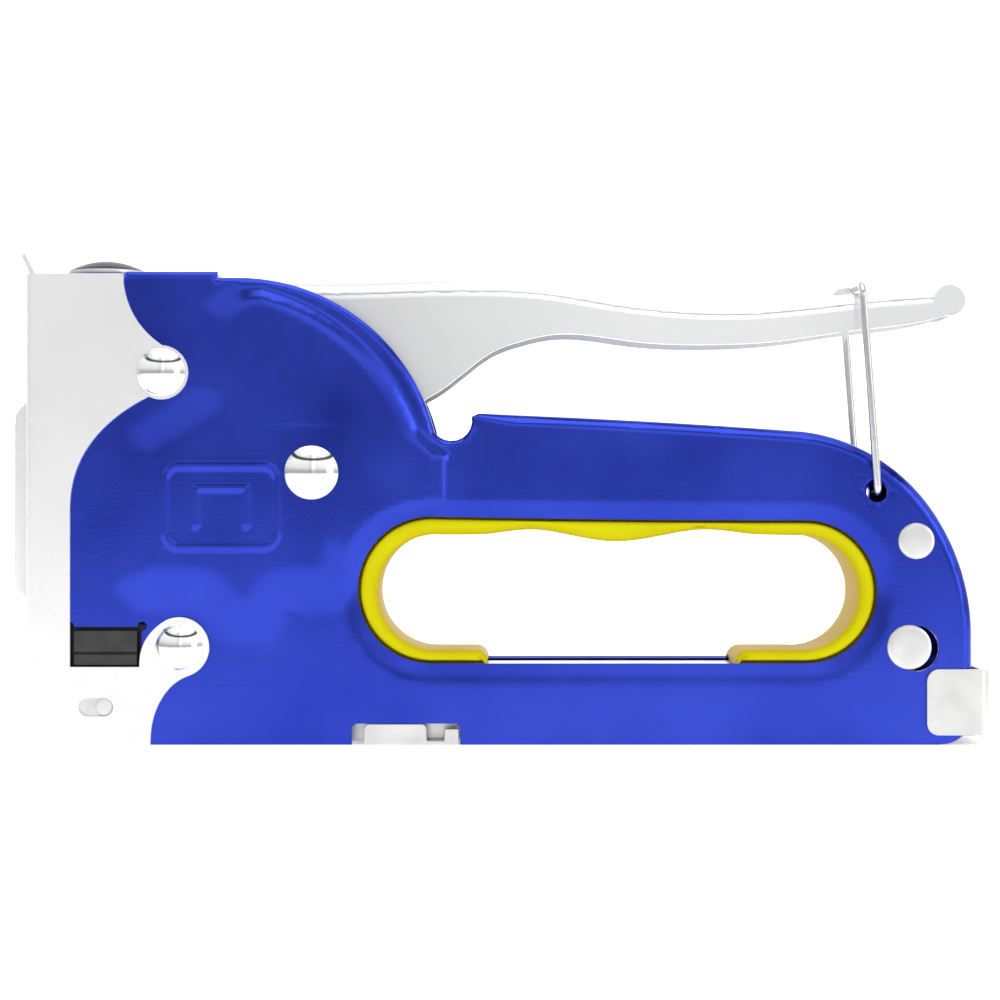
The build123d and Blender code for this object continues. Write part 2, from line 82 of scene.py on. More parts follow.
bpy.ops.mesh.primitive_plane_add(size=2, location=(0, 0, 0))
sweep = bpy.context.object
sweep.name = "studio_sweep"
sweep.scale = (SWEEP_HALF, SWEEP_BACK, 1)
bpy.ops.object.transform_apply(location=False, rotation=False, scale=True)
for edge in sweep.data.edges:
    edge.select = min(sweep.data.vertices[v].co.y for v in edge.vertices) > SWEEP_BACK - 0.01
for face in sweep.data.polygons:
    face.select = False
bpy.ops.object.mode_set(mode="EDIT")
bpy.ops.mesh.select_mode(type="EDGE")
bpy.ops.mesh.spin(steps=16, angle=math.radians(-90), center=(0, SWEEP_BACK, SWEEP_RADIUS),
                  axis=(1, 0, 0))
bpy.ops.mesh.extrude_region_move(TRANSFORM_OT_translate={"value": (0, 0, 2.0)})
bpy.ops.object.mode_set(mode="OBJECT")
bpy.ops.object.shade_smooth()
paper = bpy.data.materials.new("white_board")
paper.use_nodes = True
board = paper.node_tree.nodes["Principled BSDF"]
board.inputs["Base Color"].default_value = (0.95, 0.95, 0.95, 1)
board.inputs["Roughness"].default_value = 0.9
board.inputs["Emission Color"].default_value = (1, 1, 1, 1)
board.inputs["Emission Strength"].default_value = BOARD_GLOW
sweep.data.materials.append(paper)


def set_ramp(node, stops):
    """Grey stops, as (position, brightness), of a colour ramp."""
    ramp = node.color_ramp
    while len(ramp.elements) > 1:
        ramp.elements.remove(ramp.elements[-1])
    ramp.elements[0].position = stops[0][0]
    ramp.elements[0].color = (stops[0][1],) * 3 + (1,)
    for position, value in stops[1:]:
        ramp.elements.new(position).color = (value,) * 3 + (1,)


world = bpy.data.worlds.new("light_tent")
bpy.context.scene.world = world
world.use_nodes = True
tent = world.node_tree
around = tent.nodes.new("ShaderNodeTexCoord")
split = tent.nodes.new("ShaderNodeSeparateXYZ")
heights = tent.nodes.new("ShaderNodeValToRGB")
sides = tent.nodes.new("ShaderNodeValToRGB")
side_scale = tent.nodes.new("ShaderNodeMath")
side_scale.operation = "MULTIPLY_ADD"
side_scale.inputs[1].default_value = 0.5
side_scale.inputs[2].default_value = 0.5
product = tent.nodes.new("ShaderNodeMix")
product.data_type = "RGBA"
product.blend_type = "MULTIPLY"
product.inputs["Factor"].default_value = 1.0
set_ramp(heights, TENT_HEIGHTS)
set_ramp(sides, TENT_SIDES)
tent.links.new(around.outputs["Generated"], split.inputs[0])
tent.links.new(split.outputs["Z"], heights.inputs["Fac"])
tent.links.new(split.outputs["X"], side_scale.inputs[0])
tent.links.new(side_scale.outputs[0], sides.inputs["Fac"])
tent.links.new(heights.outputs["Color"], product.inputs[6])
tent.links.new(sides.outputs["Color"], product.inputs[7])
tent.links.new(product.outputs[2], tent.nodes["Background"].inputs["Color"])
tent.nodes["Background"].inputs["Strength"].default_value = TENT_STRENGTH
bpy.context.scene.view_settings.view_transform = "Standard"


def soft_box(name, place, target, size, power):
    """A square diffused lamp that faces a point."""
    bpy.ops.object.light_add(type="AREA", location=place)
    lamp = bpy.context.object
    lamp.name = name
    lamp.data.shape = "RECTANGLE"
    lamp.data.size, lamp.data.size_y = size
    lamp.data.energy = power
    aim = Vector(target) - Vector(place)
    lamp.rotation_euler = aim.to_track_quat("-Z", "Y").to_euler()
    return lamp


TOOL_MIDDLE = (0, 0, 0.04)
soft_box("lamp_top", (0, -0.10, 0.75), TOOL_MIDDLE, (0.9, 0.6), 1.2)
soft_box("lamp_front_right", (0.8, -0.5, 0.30), TOOL_MIDDLE, (0.4, 0.6), 1)
soft_box("lamp_back", (0, 0.8, 0.9), (0, 1.6, 0.5), (2.2, 0.5), 9)

# ---------------------------------------------------------------------------
# Body shells: two halves pressed from 1.2 mm sheet steel and finished in clear
# blue enamel over bright metal. Each has a raised panel round the lever pivot,
# a rolled edge, a dished finger hole, and a rim turned in to meet its partner.
# ---------------------------------------------------------------------------
MM = 0.001
SHELL_FACE = -11.0
SHELL_SHEET = 1.2
SHELL_SEAM = -0.05
SLOT_SIDE = -8.9
SLOT_ENDS = (-51.6, -4.2)
PANEL_RISE = 1.2
DISH_WIDTH = 2.7
DISH_DEPTH = 0.85
EDGE_RINGS = (0.04, 0.11, 0.3, 0.45)
RELIEF_BOX = (-72.0, -8.0, 17.0, 85.0)
RELIEF_STEP = 1.0
PLAIN_STEP = 1.5
BADGE_CENTRE = (-50.6, 43.6)
BADGE_HALF = (10.2, 7.4)
BADGE_CORNER = 2.6
BADGE_LINE = 0.42
BADGE_RISE = 0.32
STAPLE_HALF = 4.6
STAPLE_HEIGHT = 6.8
REAR_LOWER = (75.05, 17.9)
RAIL_EXIT = (80.0, 14.4)
REAR_CUTOUT = (76.4, 17.6)
REAR_CUTOUT_RADIUS = 4.2
BAIL_HOLE = (69.24, 46.3)
BAIL_HOLE_RADIUS = 1.9
ROLL_BAND = (0.95, 3.4)


def arc(start, middle, end, step=1.1):
    """Points on the circle through three (x, z) points, from after the first to the last."""
    (ax, az), (bx, bz), (cx, cz) = start, middle, end
    turn = 2 * (ax * (bz - cz) + bx * (cz - az) + cx * (az - bz))
    a2, b2, c2 = ax**2 + az**2, bx**2 + bz**2, cx**2 + cz**2
    ux = (a2 * (bz - cz) + b2 * (cz - az) + c2 * (az - bz)) / turn
    uz = (a2 * (cx - bx) + b2 * (ax - cx) + c2 * (bx - ax)) / turn
    radius = math.hypot(ax - ux, az - uz)
    first = math.atan2(az - uz, ax - ux)
    to_middle = (math.atan2(bz - uz, bx - ux) - first) % math.tau
    to_end = (math.atan2(cz - uz, cx - ux) - first) % math.tau
    if to_middle > to_end:
        to_end -= math.tau
    count = max(5, round(abs(to_end) * radius / step))
    turns = [first + to_end * i / count for i in range(1, count + 1)]
    return [(ux + radius * math.cos(t), uz + radius * math.sin(t)) for t in turns]


def trace(*moves):
    """Outline in mm from corners (x, z) and arcs ((x, z) passed, (x, z) reached)."""
    points = [moves[0]]
    for move in moves[1:]:
        points += arc(points[-1], *move) if isinstance(move[0], tuple) else [move]
    return points


def ring(centre, radius):
    """Closed circle of (x, z) points in mm."""
    count = max(24, round(math.tau * radius / 0.5))
    turns = [math.tau * i / count for i in range(count)]
    return [(centre[0] + radius * math.cos(t), centre[1] + radius * math.sin(t)) for t in turns]


def use(piece):
    """Select one piece alone and make it the active one."""
    bpy.ops.object.select_all(action="DESELECT")
    piece.select_set(True)
    bpy.context.view_layer.objects.active = piece


def settle(piece, size=1.0):
    """Apply the piece's place, turn and size to its mesh."""
    use(piece)
    piece.scale = (size, size, size)
    bpy.ops.object.transform_apply(location=True, rotation=True, scale=True)


def flat_sheet(name, *outlines):
    """Sheet in the X-Z plane facing -Y, in mm, cut to the first outline less the others."""
    pattern = bpy.data.curves.new(name, "CURVE")
    pattern.dimensions = "2D"
    pattern.fill_mode = "BOTH"
    for outline in outlines:
        run = pattern.splines.new("POLY")
        run.points.add(len(outline) - 1)
        for point, (x, z) in zip(run.points, outline):
            point.co = (x, z, 0, 1)
        run.use_cyclic_u = True
    piece = bpy.data.objects.new(name, pattern)
    bpy.context.collection.objects.link(piece)
    use(piece)
    bpy.ops.object.convert(target="MESH")
    piece.rotation_euler = (math.radians(90), 0, 0)
    settle(piece)
    bpy.ops.object.mode_set(mode="EDIT")
    bpy.ops.mesh.select_all(action="SELECT")
    bpy.ops.mesh.remove_doubles(threshold=0.001)
    bpy.ops.mesh.dissolve_limited(angle_limit=math.radians(0.1))
    bpy.ops.mesh.select_all(action="SELECT")
    bpy.ops.object.mode_set(mode="OBJECT")
    return piece


def edge_gap(points, outline, closed=True):
    """Distance from each (x, z) point to the nearest stretch of an outline."""
    corners = np.array(outline)
    start, end = (corners, np.roll(corners, -1, axis=0)) if closed else (corners[:-1], corners[1:])
    along = end - start
    length = (along**2).sum(axis=1)
    nearest = np.full(len(points), np.inf)
    for a, side, size in zip(start, along, length):
        offset = points - a
        share = np.clip(offset @ side / size, 0, 1)
        nearest = np.minimum(nearest, np.hypot(*(offset - share[:, None] * side).T))
    return nearest


def inside(points, outline):
    """Which (x, z) points lie inside a closed outline."""
    odd = np.zeros(len(points), bool)
    for (ax, az), (bx, bz) in zip(outline, outline[1:] + outline[:1]):
        if az != bz:
            spans = (az > points[:, 1]) != (bz > points[:, 1])
            odd ^= spans & (points[:, 0] < (bx - ax) * (points[:, 1] - az) / (bz - az) + ax)
    return odd


def eased(value, low, high):
    """0 below low, 1 above high, and a smooth rise between."""
    share = np.clip((value - low) / (high - low), 0, 1)
    return share * share * (3 - 2 * share)


def pressed_ramp(share, blend=0.22):
    """Straight rise from 0 to 1 with a small radius at its foot and at its top."""
    foot = np.clip(share + blend, 0, 2 * blend) ** 2 / (4 * blend)
    top = np.clip(share - 1 + blend, 0, 2 * blend) ** 2 / (4 * blend)
    return foot + np.clip(share - blend, 0, None) - top - np.clip(share - 1 - blend, 0, None)


finger_hole = trace((-12.7, 14.85), ((-25.8, 27.9), (-11.0, 41.75)), ((18.5, 41.3), (56.1, 41.1)),
                    ((69.4, 27.9), (56.1, 14.85)))
rolled_edge = trace((-84.7, 86.2), (-68.4, 86.2), (-68.4, 86.7), (-51.5, 86.7), (-51.5, 85.6),
                    (-47.8, 85.6), ((-22.3, 75.45), (-11.74, 57.27)),
                    ((-8.6, 55.65), (-4.95, 60.1)), (-3.6, 60.7), ((28.6, 59.2), (56.1, 57.4)),
                    ((68.84, 53.07), (78.9, 44.1)), ((84.97, 32.3), (86.9, 19.0)), (86.9, 5.9),
                    ((85.17, 1.73), (81.0, 0.0)))
body_edge = rolled_edge + [(-7.05, 0.0), (-7.05, 3.2), (-7.75, 3.9), (-26.15, 3.9), (-26.85, 3.2),
                           (-26.85, 0.0), (-84.7, 0.0)]
bumper_window = trace((-78.4, 14.3), (-65.3, 14.3), (-65.3, 20.8), ((-64.55, 22.3), (-66.1, 21.6)),
                      (-77.6, 21.6), ((-79.1, 22.3), (-78.4, 20.8)))
panel_foot = trace((-49.5, 84.0), (-54.6, 80.0), (-54.6, 66.0), (-68.5, 57.5), (-70.0, 54.0),
                   (-70.0, 29.0), (-66.0, 25.4), (-55.0, 25.0), (-51.0, 19.6), (-42.0, 19.2),
                   (-38.7, 25.0), (-29.0, 25.4), (-26.4, 30.0), ((-23.4, 36.6), (-16.5, 40.8)),
                   (-9.6, 42.3), (-8.8, 43.6), (-8.8, 53.4), (-11.8, 55.4), (-14.6, 58.0),
                   ((-25.6, 74.2), (-43.4, 83.6)))
staple_mark = [(-STAPLE_HALF, -STAPLE_HEIGHT / 2), (-STAPLE_HALF, STAPLE_HEIGHT / 2),
               (STAPLE_HALF, STAPLE_HEIGHT / 2), (STAPLE_HALF, -STAPLE_HEIGHT / 2)]


def pressed_relief(points):
    """How far the face stands out at each (x, z) point, in mm."""
    x, z = points.T
    depth_in = edge_gap(points, panel_foot)
    depth_in = np.where(inside(points, panel_foot), depth_in, -depth_in)
    narrow = np.maximum(eased(x, -52, -43) * eased(z, 36, 46), eased(x, -31, -27))
    relief = PANEL_RISE * pressed_ramp(depth_in / (6.2 - 4.0 * narrow))

    roll = 1.3 + 1.1 * eased(x, -4.5, 3)
    roll = 0.35 + (roll - 0.35) * eased(z, 0.0, 7.0) * eased(x, -84.0, -80.0)
    left = roll - np.minimum(edge_gap(points, rolled_edge, closed=False), roll)
    relief -= roll - np.sqrt(np.maximum(roll**2 - left**2, 0))
    left = 0.35 - np.minimum(edge_gap(points, body_edge), 0.35)
    relief -= (0.35 - np.sqrt(np.maximum(0.35**2 - left**2, 0))) * (roll < 0.5)

    dish = np.clip(1 - edge_gap(points, finger_hole) / DISH_WIDTH, 0, 1)
    relief -= DISH_DEPTH * np.where(dish < 0.3, dish**2 / 0.6, dish - 0.15)
    for centre, radius, rise in ((BAIL_HOLE, 2.4, -0.35),
                                 ((-53.4, 25.6), 0.7, -0.5), ((-38.2, 25.4), 0.7, -0.5)):
        relief += rise * (1 - eased(np.hypot(x - centre[0], z - centre[1]), radius - 0.5, radius))

    badge = points - np.array(BADGE_CENTRE)
    corner = np.abs(badge) - np.array(BADGE_HALF) + BADGE_CORNER
    frame_gap = np.abs(np.hypot(*np.maximum(corner, 0).T)
                       + np.minimum(corner.max(axis=1), 0) - BADGE_CORNER)
    mark_gap = edge_gap(badge, staple_mark, closed=False)
    line = 1 - eased(np.minimum(frame_gap, mark_gap), BADGE_LINE * 0.6, BADGE_LINE * 1.9)
    return relief + BADGE_RISE * line


def slice_faces(low, high, step, axis):
    """Cut all faces along planes across one axis."""
    normal = [0, 0, 0]
    normal[axis] = 1
    for i in range(1, round((high - low) / step)):
        place = [0, 0, 0]
        place[axis] = low + i * step
        bpy.ops.mesh.select_all(action="SELECT")
        bpy.ops.mesh.bisect(plane_co=place, plane_no=normal)


def pick_open_edges(piece, wanted):
    """Select just the open edges whose two ends both pass a test of x, y and z."""
    sheet = piece.data
    passes = wanted(*np.array([v.co for v in sheet.vertices]).T)
    uses = Counter(key for face in sheet.polygons for key in face.edge_keys)
    sheet.vertices.foreach_set("select", [False] * len(sheet.vertices))
    sheet.polygons.foreach_set("select", [False] * len(sheet.polygons))
    for edge in sheet.edges:
        edge.select = uses[edge.key] == 1 and all(passes[v] for v in edge.vertices)


def edge_rings(piece, widths):
    """Inset a flat sheet in rings that follow its edges, and fill the middle afresh."""
    bpy.ops.object.mode_set(mode="EDIT")
    bpy.ops.mesh.select_mode(type="FACE")
    bpy.ops.mesh.select_all(action="SELECT")
    for width in widths:
        bpy.ops.mesh.inset(thickness=width, use_boundary=True, use_even_offset=True)
    bpy.ops.object.mode_set(mode="OBJECT")
    uses = Counter(key for face in piece.data.polygons for key in face.edge_keys)
    middle = Counter(key for face in piece.data.polygons if face.select for key in face.edge_keys)
    bpy.ops.object.mode_set(mode="EDIT")
    bpy.ops.mesh.delete(type="FACE")
    bpy.ops.object.mode_set(mode="OBJECT")
    for edge in piece.data.edges:
        edge.select = middle[edge.key] == 1 and uses[edge.key] == 2
    bpy.ops.object.mode_set(mode="EDIT")
    bpy.ops.mesh.select_mode(type="EDGE")
    bpy.ops.mesh.fill(use_beauty=True)
    bpy.ops.mesh.dissolve_limited(angle_limit=math.radians(0.1))
    bpy.ops.object.mode_set(mode="OBJECT")


def refine(piece, wanted, cuts):
    """Divide the faces whose middles pass a test of x, y and z."""
    passes = wanted(*np.array([face.center for face in piece.data.polygons]).T)
    piece.data.polygons.foreach_set("select", passes)
    bpy.ops.object.mode_set(mode="EDIT")
    bpy.ops.mesh.select_mode(type="FACE")
    bpy.ops.mesh.quads_convert_to_tris()
    bpy.ops.mesh.subdivide(number_cuts=cuts)
    bpy.ops.object.mode_set(mode="OBJECT")


def turn_in(piece, wanted, depth_at):
    """Draw the chosen open edges across the body to the y that depth_at gives for their x."""
    pick_open_edges(piece, wanted)
    bpy.ops.object.mode_set(mode="EDIT")
    bpy.ops.mesh.select_mode(type="EDGE")
    bpy.ops.mesh.extrude_region_move(TRANSFORM_OT_translate={"value": (0, 0, 0)})
    bpy.ops.object.mode_set(mode="OBJECT")
    for vertex in piece.data.vertices:
        if vertex.select:
            vertex.co.y = depth_at(vertex.co.x)


def finish_sheet(piece, thickness, edge_round=0.12):
    """Give the sheet its thickness, inwards, soften its cut edges and bring it to metres."""
    use(piece)
    wall = piece.modifiers.new("wall", "SOLIDIFY")
    wall.thickness = thickness
    wall.offset = -1
    wall.use_even_offset = True
    bpy.ops.object.modifier_apply(modifier="wall")
    if edge_round:
        cut = piece.modifiers.new("cut_edges", "BEVEL")
        cut.width = edge_round
        cut.segments = 1
        cut.angle_limit = math.radians(55)
        cut.use_clamp_overlap = True
        bpy.ops.object.modifier_apply(modifier="cut_edges")
    settle(piece, MM)
    bpy.ops.object.shade_smooth_by_angle(angle=math.radians(38))


def from_edge(x, z, run):
    """Distance of each point from an open run of (x, z) points."""
    return edge_gap(np.stack([x, z], axis=1), run, False)


# All of the rolled edge but the round corner at its rear foot.
ON_EDGE = 0.02
turned_edge = rolled_edge[:-8]
left_half = flat_sheet("shell_left", body_edge, finger_hole, bumper_window,
                       ring(BAIL_HOLE, BAIL_HOLE_RADIUS), ring(REAR_CUTOUT, REAR_CUTOUT_RADIUS))
edge_rings(left_half, EDGE_RINGS)
bpy.ops.object.mode_set(mode="EDIT")
slice_faces(RELIEF_BOX[0], RELIEF_BOX[1], RELIEF_STEP, 0)
slice_faces(RELIEF_BOX[2], RELIEF_BOX[3], RELIEF_STEP, 2)
slice_faces(RELIEF_BOX[1], 88.0, PLAIN_STEP, 0)
slice_faces(1.0, RELIEF_BOX[2], PLAIN_STEP, 2)
bpy.ops.object.mode_set(mode="OBJECT")
refine(left_half, lambda x, y, z: (from_edge(x, z, rolled_edge) < ROLL_BAND[1])
       & (from_edge(x, z, rolled_edge) > ROLL_BAND[0]) & (z > 3), 1)
refine(left_half, lambda x, y, z: np.maximum(abs(x - BADGE_CENTRE[0]) - BADGE_HALF[0],
                                             abs(z - BADGE_CENTRE[1]) - BADGE_HALF[1]) < 1.4, 2)
spots = np.array([v.co for v in left_half.data.vertices])
for vertex, rise in zip(left_half.data.vertices, pressed_relief(spots[:, [0, 2]])):
    vertex.co.y = SHELL_FACE - rise
turn_in(left_half,
        lambda x, y, z: from_edge(x, z, turned_edge) < ON_EDGE,
        lambda x: SLOT_SIDE if SLOT_ENDS[0] < x < SLOT_ENDS[1] else SLOT_SIDE + 2)
turn_in(left_half,
        lambda x, y, z: (y > SLOT_SIDE - 0.05) & ((x < SLOT_ENDS[0]) | (x > SLOT_ENDS[1]))
        & ((x < RAIL_EXIT[0]) | (z > RAIL_EXIT[1]))
        & (from_edge(x, z, turned_edge) < ON_EDGE),
        lambda x: SHELL_SEAM)
finish_sheet(left_half, SHELL_SHEET)
bpy.ops.object.duplicate()
right_half = bpy.context.object
right_half.name = "shell_right"
right_half.scale = (1, -1, 1)
bpy.ops.object.transform_apply(location=False, rotation=False, scale=True)
bpy.ops.object.mode_set(mode="EDIT")
bpy.ops.mesh.select_all(action="SELECT")
bpy.ops.mesh.normals_make_consistent(inside=False)
bpy.ops.object.mode_set(mode="OBJECT")


def number_node(tree, kind, *values, mode=None):
    """Node whose unlinked inputs take these values in turn; None skips one."""
    node = tree.nodes.new(kind)
    if mode:
        node.operation = mode
    for socket, value in zip(node.inputs, values):
        if value is not None:
            socket.default_value = value
    return node


def surface_group():
    """What no real surface lacks: slow clouding, a fine tooth, and hairline rubs."""
    group = bpy.data.node_groups.new("surface_texture", "ShaderNodeTree")
    for name in ("Cloud Scale", "Tooth Scale", "Rub Scale"):
        group.interface.new_socket(name, in_out="INPUT", socket_type="NodeSocketFloat")
    for name in ("Cloud", "Tooth", "Rub"):
        group.interface.new_socket(name, in_out="OUTPUT", socket_type="NodeSocketFloat")
    given = group.nodes.new("NodeGroupInput")
    made = group.nodes.new("NodeGroupOutput")
    place = group.nodes.new("ShaderNodeTexCoord")
    join = group.links.new
    for i, detail in ((0, 4.0), (1, 2.0)):
        noise = group.nodes.new("ShaderNodeTexNoise")
        noise.inputs["Detail"].default_value = detail
        join(place.outputs["Object"], noise.inputs["Vector"])
        join(given.outputs[i], noise.inputs["Scale"])
        join(noise.outputs["Fac"], made.inputs[i])
    lean = group.nodes.new("ShaderNodeMapping")
    lean.inputs["Rotation"].default_value = (0.0, 0.5, 0.3)
    lean.inputs["Scale"].default_value = (0.05, 1.0, 1.3)
    hair = group.nodes.new("ShaderNodeTexNoise")
    hair.inputs["Detail"].default_value = 3.0
    hair.inputs["Distortion"].default_value = 0.25
    edge = group.nodes.new("ShaderNodeMapRange")
    edge.interpolation_type = "SMOOTHSTEP"
    edge.inputs["From Min"].default_value = 0.64
    edge.inputs["From Max"].default_value = 0.80
    join(place.outputs["Object"], lean.inputs["Vector"])
    join(lean.outputs["Vector"], hair.inputs["Vector"])
    join(given.outputs[2], hair.inputs["Scale"])
    join(hair.outputs["Fac"], edge.inputs["Value"])
    join(edge.outputs["Result"], made.inputs[2])
    return group


surface_texture = surface_group()


def finish(name, colour, second, metallic, rough, rough_rise, bump, scales=(45, 1800, 420),
           rub=0.08, coat=0.0):
    """Finish with two close colours that cloud into each other, uneven gloss and fine relief."""
    material = bpy.data.materials.new(name)
    material.use_nodes = True
    tree = material.node_tree
    shader = tree.nodes["Principled BSDF"]
    shader.inputs["Metallic"].default_value = metallic
    if coat:
        shader.inputs["Coat Weight"].default_value = coat
        shader.inputs["Coat Roughness"].default_value = 0.06
    texture = tree.nodes.new("ShaderNodeGroup")
    texture.node_tree = surface_texture
    for socket, scale in zip(texture.inputs, scales):
        socket.default_value = scale
    spread = tree.nodes.new("ShaderNodeMapRange")
    spread.inputs["From Min"].default_value = 0.32
    spread.inputs["From Max"].default_value = 0.68
    blend = tree.nodes.new("ShaderNodeMix")
    blend.data_type = "RGBA"
    blend.inputs[6].default_value = (*colour, 1)
    blend.inputs[7].default_value = (*second, 1)
    gloss = number_node(tree, "ShaderNodeMath", None, rough_rise, rough, mode="MULTIPLY_ADD")
    rubbed = number_node(tree, "ShaderNodeMath", None, rub, None, mode="MULTIPLY_ADD")
    relief = number_node(tree, "ShaderNodeMath", None, -0.1, None, mode="MULTIPLY_ADD")
    tooth = tree.nodes.new("ShaderNodeBump")
    tooth.inputs["Strength"].default_value = bump
    tooth.inputs["Distance"].default_value = 0.0001
    join = tree.links.new
    join(texture.outputs["Cloud"], spread.inputs["Value"])
    join(spread.outputs["Result"], blend.inputs["Factor"])
    join(blend.outputs[2], shader.inputs["Base Color"])
    join(spread.outputs["Result"], gloss.inputs[0])
    join(texture.outputs["Rub"], rubbed.inputs[0])
    join(gloss.outputs[0], rubbed.inputs[2])
    join(rubbed.outputs[0], shader.inputs["Roughness"])
    join(texture.outputs["Rub"], relief.inputs[0])
    join(texture.outputs["Tooth"], relief.inputs[2])
    join(relief.outputs[0], tooth.inputs["Height"])
    join(tooth.outputs["Normal"], shader.inputs["Normal"])
    return material


def fit(piece, material, body, node):
    """Give a piece its finish, and put it on its body in place of its CAD node."""
    piece.data.materials.clear()
    piece.data.materials.append(material)
    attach(piece, body)
    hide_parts(node)


blue_enamel = finish("blue_enamel", (0.026, 0.048, 0.44), (0.040, 0.070, 0.56), 1.0, 0.17, 0.08,
                     0.10, scales=(38, 1500, 300), rub=0.10)
fit(left_half, blue_enamel, "frame", "left_shell")
fit(right_half, blue_enamel, "frame", "right_shell")

# ---------------------------------------------------------------------------
# Nose wrap: 0.8 mm sheet bent round the front of the shells, with a pressed
# bulge for the striker's arm and a turned-out top tab. It is nickel plated,
# and its two pairs of lugs are held by the front rivets.
# ---------------------------------------------------------------------------
NOSE_EDGE = 0.00022


def from_cad(node, name):
    """A merged copy of a CAD node, with its flat faces made whole."""
    piece = bpy.data.objects.new(name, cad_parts[node].data.copy())
    bpy.context.collection.objects.link(piece)
    use(piece)
    if piece.data.has_custom_normals:
        bpy.ops.mesh.customdata_custom_splitnormals_clear()
    bpy.ops.object.mode_set(mode="EDIT")
    bpy.ops.mesh.select_all(action="SELECT")
    bpy.ops.mesh.remove_doubles(threshold=1e-6)
    bpy.ops.mesh.dissolve_limited(angle_limit=math.radians(0.3))
    bpy.ops.object.mode_set(mode="OBJECT")
    return piece


def soften(piece, width, segments=2, angle=42):
    """Round off the sharp edges of a piece and smooth its shading."""
    use(piece)
    edges = piece.modifiers.new("edges", "BEVEL")
    edges.width = width
    edges.segments = segments
    edges.angle_limit = math.radians(angle)
    edges.use_clamp_overlap = True
    bpy.ops.object.modifier_apply(modifier="edges")
    bpy.ops.object.shade_smooth_by_angle(angle=math.radians(35))
    level = piece.modifiers.new("level_faces", "WEIGHTED_NORMAL")
    level.keep_sharp = True
    level.weight = 80
    bpy.ops.object.modifier_apply(modifier="level_faces")


nickel = finish("nickel_plate", (0.95, 0.95, 0.955), (0.90, 0.90, 0.91), 0.55, 0.20, 0.10, 0.05,
                scales=(70, 1400, 500), rub=0.12)
nose = from_cad("nose_plate", "nose_wrap")
soften(nose, NOSE_EDGE)
fit(nose, nickel, "frame", "nose_plate")

# ---------------------------------------------------------------------------
# Squeeze lever: 1.5 mm sheet folded into a channel, open below, with round
# shoulders, a closed end and a small pressed lug that keeps the bail. Polished
# and chromium plated. A steel arm inside it lifts the striker.
# ---------------------------------------------------------------------------
LEVER_EDGE = 0.00016

chrome = finish("chrome_plate", (0.97, 0.97, 0.975), (0.94, 0.945, 0.95), 0.62, 0.10, 0.07, 0.03,
                scales=(60, 900, 350), rub=0.10)
lever = from_cad("lever", "squeeze_lever")
soften(lever, LEVER_EDGE)
fit(lever, chrome, "lever", "lever")

# ---------------------------------------------------------------------------
# Rivets: the lever's pivot and the two front rivets have polished domes on a
# thin land. The two rear rivets are flat, with worn edges. Each goes right
# through both shells. A plated button locates the nose wrap in its oval slot.
# ---------------------------------------------------------------------------
DOME_LAND = 0.28
SHAFT_RADIUS = 1.8
BUTTON_AT = (-72.1, 6.95)


def turned_part(name, profile, centre, steps=56):
    """Part turned about Y from its (radius, y) profile in mm, set on an (x, z) axis."""
    outline = bpy.data.meshes.new(name)
    links = [(i, i + 1) for i in range(len(profile) - 1)]
    outline.from_pydata([(r, y, 0) for r, y in profile], links, [])
    piece = bpy.data.objects.new(name, outline)
    bpy.context.collection.objects.link(piece)
    use(piece)
    bpy.ops.object.mode_set(mode="EDIT")
    bpy.ops.mesh.select_all(action="SELECT")
    bpy.ops.mesh.spin(steps=steps, angle=math.tau, center=(0, 0, 0), axis=(0, 1, 0))
    bpy.ops.mesh.select_all(action="SELECT")
    bpy.ops.mesh.remove_doubles(threshold=0.0005)
    bpy.ops.mesh.normals_make_consistent(inside=False)
    bpy.ops.object.mode_set(mode="OBJECT")
    piece.location = (centre[0] * MM, 0, centre[1] * MM)
    settle(piece, MM)
    bpy.ops.object.shade_smooth_by_angle(angle=math.radians(35))
    return piece


def dome_head(radius, height):
    """Profile of a domed head that stands out from y = 0 towards -Y, from its middle."""
    crown = height - DOME_LAND
    ball = ((radius - 0.12)**2 + crown**2) / (2 * crown)
    spread = math.asin((radius - 0.12) / ball)
    turns = [spread * i / 12 for i in range(13)]
    return [(ball * math.sin(t), ball - height - ball * math.cos(t)) for t in turns] + [
        (radius, -DOME_LAND + 0.1), (radius, 0.0)]


def flat_head(radius, height):
    """Profile of a flat head with a worn edge, from its middle."""
    return [(0.0, -height), (radius * 0.45, 0.01 - height), (radius * 0.78, 0.06 - height),
            (radius - 0.35, 0.13 - height), (radius - 0.1, -height * 0.66),
            (radius, -height * 0.3), (radius, 0.0)]


def through_rivet(name, head, centre, face):
    """Rivet with the same head on both sides of the body."""
    near = [(r, y - face) for r, y in head] + [(SHAFT_RADIUS, -face)]
    return turned_part(name, near + [(r, -y) for r, y in reversed(near)], centre)


rivet_chrome = finish("rivet_chrome", (0.90, 0.90, 0.91), (0.86, 0.865, 0.875), 1.0, 0.07, 0.05,
                      0.02, scales=(150, 1500, 700), rub=0.08)
rivet_zinc = finish("rivet_zinc", (0.80, 0.80, 0.79), (0.70, 0.70, 0.69), 0.8, 0.26, 0.12, 0.10,
                    scales=(260, 2200, 900), rub=0.12)
for name, radius, centre, face in (("lever_pivot", 4.9, (-34.15, 49.8), 12.2),
                                   ("upper_nose_rivet", 4.4, (-61.65, 68.1), 11.8),
                                   ("lower_nose_rivet", 4.3, (-58.35, 17.9), 11.8)):
    rivet = through_rivet(name + "_piece", dome_head(radius, 2.3), centre, face)
    fit(rivet, rivet_chrome, "frame", name)
for name, radius, centre in (("rear_upper_rivet", 3.35, (76.35, 37.3)),
                             ("rear_lower_rivet", 4.1, REAR_LOWER)):
    rivet = through_rivet(name + "_piece", flat_head(radius, 0.85), centre, -SHELL_FACE)
    fit(rivet, rivet_zinc, "frame", name)

